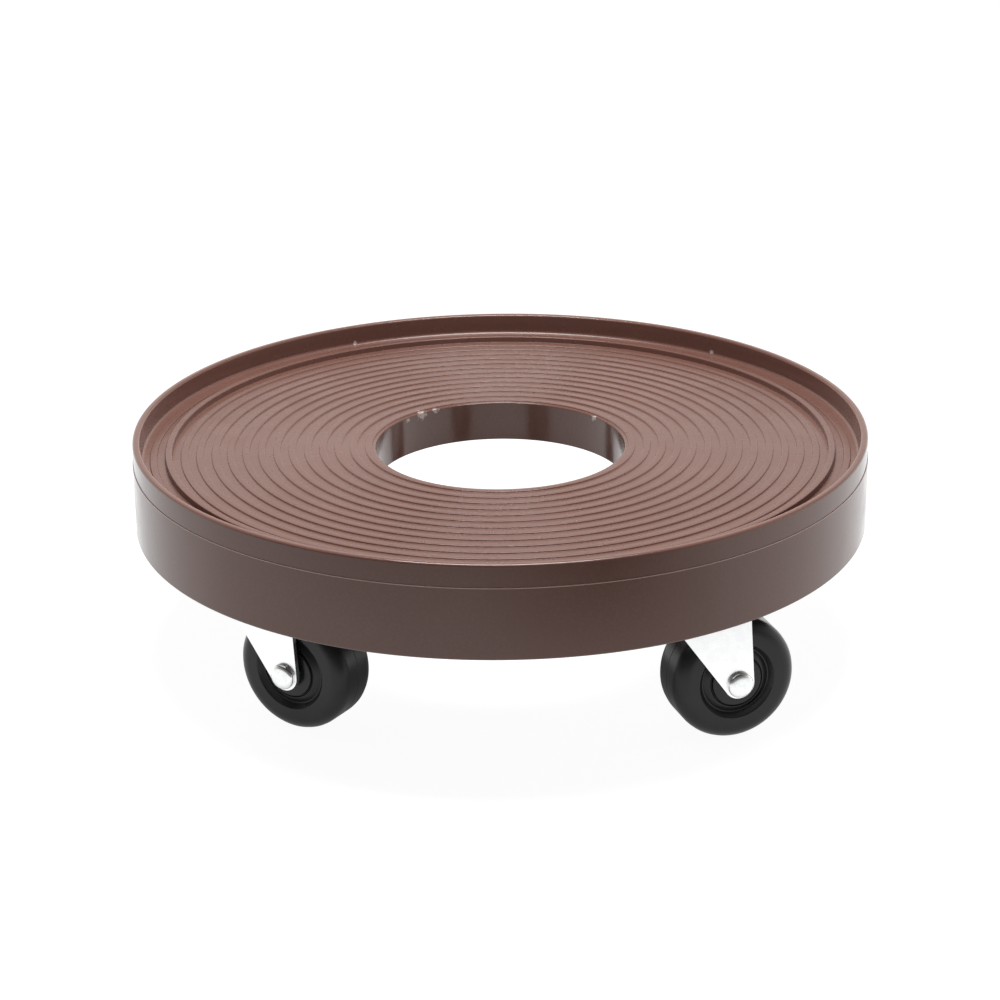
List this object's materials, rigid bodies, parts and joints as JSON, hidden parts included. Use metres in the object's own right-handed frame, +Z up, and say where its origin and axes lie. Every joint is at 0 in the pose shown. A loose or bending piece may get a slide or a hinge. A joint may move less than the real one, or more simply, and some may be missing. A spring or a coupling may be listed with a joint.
{
  "type": "plant pot caddy",
  "caption": "Round plastic plant pot caddy with a ridged deck, raised rim and centre hole, on swivel casters with black rubber wheels.",
  "frame": {"origin": "on the floor under the centre of the deck", "axes": "+Z up along the deck's axis; the four kingpins stand on the diagonals between X and Y; -Y is the front"},
  "size_m": [0.3054, 0.3054, 0.0973],
  "materials": {
    "brown_plastic": "satin chocolate-brown moulded polypropylene",
    "zinc_steel": "bright white zinc plating on pressed steel",
    "rivet_steel": "bright zinc-plated rivet, lightly hammered face",
    "bearing_steel": "polished ball",
    "black_rubber": "satin black hard rubber"
  },
  "bodies": {
    "deck": {"deck": "brown_plastic", "mount_screws": "zinc_steel", "front_right_mount_plate": "zinc_steel", "front_right_kingpin": "zinc_steel", "front_right_lower_race_cup": "zinc_steel", "front_left_mount_plate": "zinc_steel", "front_left_kingpin": "zinc_steel", "front_left_lower_race_cup": "zinc_steel", "rear_left_mount_plate": "zinc_steel", "rear_left_kingpin": "zinc_steel", "rear_left_lower_race_cup": "zinc_steel", "rear_right_mount_plate": "zinc_steel", "rear_right_kingpin": "zinc_steel", "rear_right_lower_race_cup": "zinc_steel"},
    "front_right_swivel": {"front_right_fork": "zinc_steel", "front_right_axle_rivet": "rivet_steel", "front_right_axle_sleeve": "rivet_steel"},
    "front_right_balls": {"front_right_upper_balls": "bearing_steel", "front_right_lower_balls": "bearing_steel"},
    "front_right_roller": {"front_right_wheel": "black_rubber"},
    "front_left_swivel": {"front_left_fork": "zinc_steel", "front_left_axle_rivet": "rivet_steel", "front_left_axle_sleeve": "rivet_steel"},
    "front_left_balls": {"front_left_upper_balls": "bearing_steel", "front_left_lower_balls": "bearing_steel"},
    "front_left_roller": {"front_left_wheel": "black_rubber"},
    "rear_left_swivel": {"rear_left_fork": "zinc_steel", "rear_left_axle_rivet": "rivet_steel", "rear_left_axle_sleeve": "rivet_steel"},
    "rear_left_balls": {"rear_left_upper_balls": "bearing_steel", "rear_left_lower_balls": "bearing_steel"},
    "rear_left_roller": {"rear_left_wheel": "black_rubber"},
    "rear_right_swivel": {"rear_right_fork": "zinc_steel", "rear_right_axle_rivet": "rivet_steel", "rear_right_axle_sleeve": "rivet_steel"},
    "rear_right_balls": {"rear_right_upper_balls": "bearing_steel", "rear_right_lower_balls": "bearing_steel"},
    "rear_right_roller": {"rear_right_wheel": "black_rubber"}
  },
  "joints": [
    {"name": "front_right_swivel_turn", "type": "hinge", "parent": "deck", "child": "front_right_swivel", "pos_m": [0.08393, -0.08393, 0.06], "axis": [0, 0, 1], "continuous": true},
    {"name": "front_right_ball_orbit", "type": "hinge", "parent": "deck", "child": "front_right_balls", "pos_m": [0.08393, -0.08393, 0.06], "axis": [0, 0, 1], "continuous": true},
    {"name": "front_right_wheel_roll", "type": "hinge", "parent": "front_right_swivel", "child": "front_right_roller", "pos_m": [0.10189, -0.07456, 0.0254], "axis": [-0.4627, 0.8865, 0], "continuous": true},
    {"name": "front_left_swivel_turn", "type": "hinge", "parent": "deck", "child": "front_left_swivel", "pos_m": [-0.08393, -0.08393, 0.06], "axis": [0, 0, 1], "continuous": true},
    {"name": "front_left_ball_orbit", "type": "hinge", "parent": "deck", "child": "front_left_balls", "pos_m": [-0.08393, -0.08393, 0.06], "axis": [0, 0, 1], "continuous": true},
    {"name": "front_left_wheel_roll", "type": "hinge", "parent": "front_left_swivel", "child": "front_left_roller", "pos_m": [-0.06515, -0.09149, 0.0254], "axis": [0.3732, 0.9278, 0], "continuous": true},
    {"name": "rear_left_swivel_turn", "type": "hinge", "parent": "deck", "child": "rear_left_swivel", "pos_m": [-0.08393, 0.08393, 0.06], "axis": [0, 0, 1], "continuous": true},
    {"name": "rear_left_ball_orbit", "type": "hinge", "parent": "deck", "child": "rear_left_balls", "pos_m": [-0.08393, 0.08393, 0.06], "axis": [0, 0, 1], "continuous": true},
    {"name": "rear_left_wheel_roll", "type": "hinge", "parent": "rear_left_swivel", "child": "rear_left_roller", "pos_m": [-0.09406, 0.10147, 0.0254], "axis": [-0.866, -0.5, 0], "continuous": true},
    {"name": "rear_right_swivel_turn", "type": "hinge", "parent": "deck", "child": "rear_right_swivel", "pos_m": [0.08393, 0.08393, 0.06], "axis": [0, 0, 1], "continuous": true},
    {"name": "rear_right_ball_orbit", "type": "hinge", "parent": "deck", "child": "rear_right_balls", "pos_m": [0.08393, 0.08393, 0.06], "axis": [0, 0, 1], "continuous": true},
    {"name": "rear_right_wheel_roll", "type": "hinge", "parent": "rear_right_swivel", "child": "rear_right_roller", "pos_m": [0.07869, 0.10349, 0.0254], "axis": [-0.9659, -0.2588, 0], "continuous": true}
  ],
  "couplings": [
    {"joint": "front_right_ball_orbit", "follows": "front_right_swivel_turn", "ratio": 0.5},
    {"joint": "front_left_ball_orbit", "follows": "front_left_swivel_turn", "ratio": 0.5},
    {"joint": "rear_left_ball_orbit", "follows": "rear_left_swivel_turn", "ratio": 0.5},
    {"joint": "rear_right_ball_orbit", "follows": "rear_right_swivel_turn", "ratio": 0.5}
  ]
}
